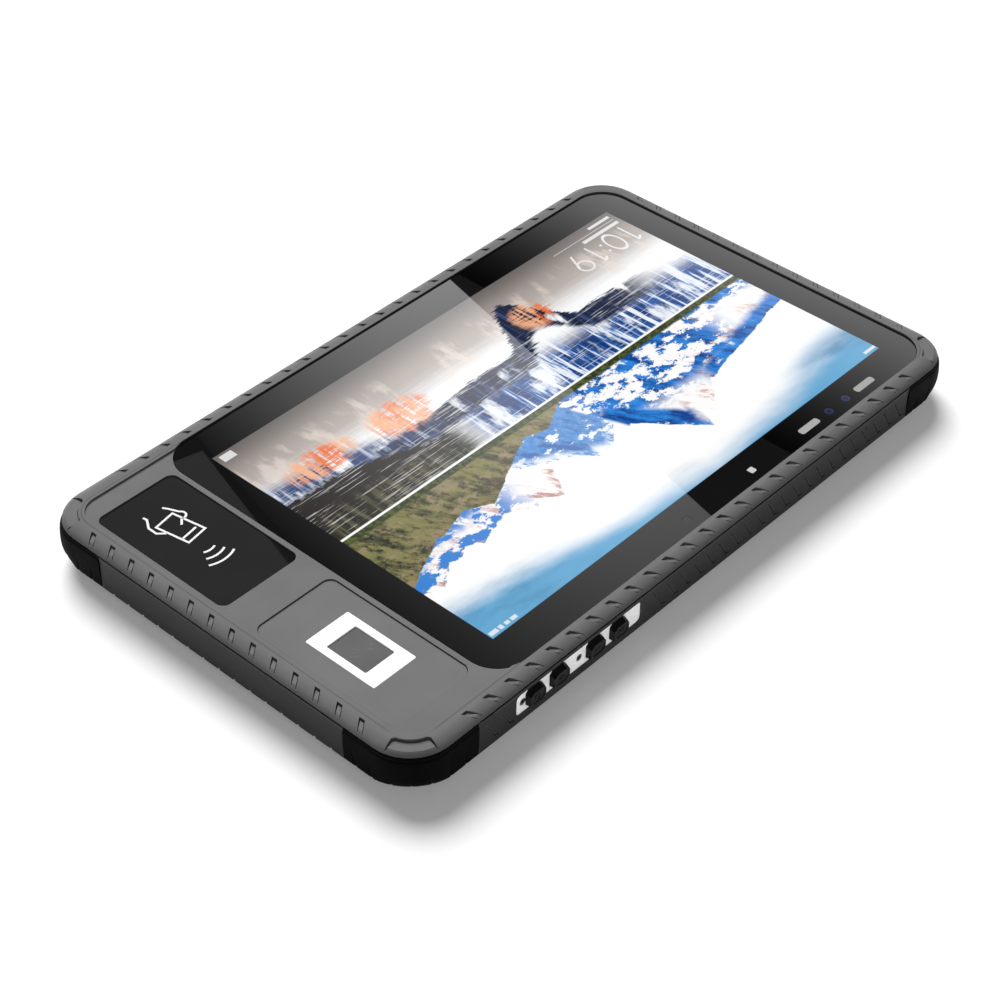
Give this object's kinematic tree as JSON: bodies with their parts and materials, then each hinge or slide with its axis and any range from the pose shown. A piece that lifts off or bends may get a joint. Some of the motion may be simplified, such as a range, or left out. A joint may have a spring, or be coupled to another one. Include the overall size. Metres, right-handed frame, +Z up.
{
  "type": "rugged tablet data collector",
  "caption": "Rugged landscape data collector tablet with card reader pad, fingerprint reader, sprung side keys and rubber corners.",
  "frame": {"origin": "centre of the tablet's outline, on the surface it lies on", "axes": "+X along the length towards the card and fingerprint readers, +Y towards the edge with the keys, +Z up out of the screen"},
  "size_m": [0.2372, 0.1434, 0.0166],
  "materials": {
    "frame_plastic": "fine moulded texture",
    "shell_plastic": "fine moulded texture",
    "bumper_rubber": "satin",
    "key_rubber": "satin",
    "seal_rubber": "matte",
    "screen_glass": "black-printed glass",
    "display_metal": "brushed",
    "lens_glass": "coated",
    "lamp_diffuser": "frosted",
    "pad_gloss": "high gloss",
    "sensor_glass": "satin",
    "white_plastic": "satin",
    "copper_foil": "foil",
    "circuit_board": "solder mask",
    "chassis_metal": "cast",
    "battery_wrap": "wrap",
    "screw_steel": "machined",
    "contact_brass": "gold plated",
    "speaker_box": "moulded"
  },
  "bodies": {
    "tablet": {"rear_shell": "shell_plastic", "case_seal": "seal_rubber", "front_frame": "frame_plastic", "cover_glass": "screen_glass", "glass_gasket": "seal_rubber", "display_panel": "display_metal", "front_camera_a": "lens_glass", "front_camera_b": "lens_glass", "lamp_window_a": "lamp_diffuser", "lamp_window_b": "lamp_diffuser", "light_sensor": "lamp_diffuser", "proximity_sensor": "lens_glass", "card_pad": "pad_gloss", "card_antenna": "copper_foil", "fingerprint_plate": "frame_plastic", "fingerprint_bezel": "white_plastic", "fingerprint_window": "sensor_glass", "fingerprint_module": "circuit_board", "mid_chassis": "chassis_metal", "main_board": "circuit_board", "board_shields": "chassis_metal", "battery_pack": "battery_wrap", "battery_cover": "shell_plastic", "battery_cover_screws": "screw_steel", "case_screws": "screw_steel", "strap_inserts": "contact_brass", "side_panel_keys": "shell_plastic", "side_panel_dock": "shell_plastic", "side_panel_card": "shell_plastic", "side_panel_ports": "shell_plastic", "bumper_key_card": "bumper_rubber", "bumper_key_port": "bumper_rubber", "bumper_dock_port": "bumper_rubber", "bumper_dock_card": "bumper_rubber", "key_plate": "white_plastic", "key_screws": "screw_steel", "key_board": "circuit_board", "port_board": "circuit_board", "port_door_pin": "screw_steel", "dock_contacts": "contact_brass", "rear_camera": "lens_glass", "rear_camera_window": "lens_glass", "flash_lens": "lamp_diffuser", "speaker": "speaker_box"},
    "key_power": {"key_power": "key_rubber"},
    "key_volume_up": {"key_volume_up": "key_rubber"},
    "key_volume_down": {"key_volume_down": "key_rubber"},
    "key_scan": {"key_scan": "key_rubber"},
    "port_door": {"port_door": "shell_plastic"}
  },
  "joints": [
    {"name": "key_power_press", "type": "slide", "parent": "tablet", "child": "key_power", "axis": [0, -1, 0], "range_m": [0, 0.0006], "stiffness_N_per_m": 2500, "springref_m": -0.0001},
    {"name": "key_volume_up_press", "type": "slide", "parent": "tablet", "child": "key_volume_up", "axis": [0, -1, 0], "range_m": [0, 0.0006], "stiffness_N_per_m": 2500, "springref_m": -0.0001},
    {"name": "key_volume_down_press", "type": "slide", "parent": "tablet", "child": "key_volume_down", "axis": [0, -1, 0], "range_m": [0, 0.0006], "stiffness_N_per_m": 2500, "springref_m": -0.0001},
    {"name": "key_scan_press", "type": "slide", "parent": "tablet", "child": "key_scan", "axis": [0, -1, 0], "range_m": [0, 0.0006], "stiffness_N_per_m": 2500, "springref_m": -0.0001},
    {"name": "port_door_hinge", "type": "hinge", "parent": "tablet", "child": "port_door", "pos_m": [-0.1171, 0, 0.0052], "axis": [0, -1, 0], "range_deg": [0, 90]}
  ]
}
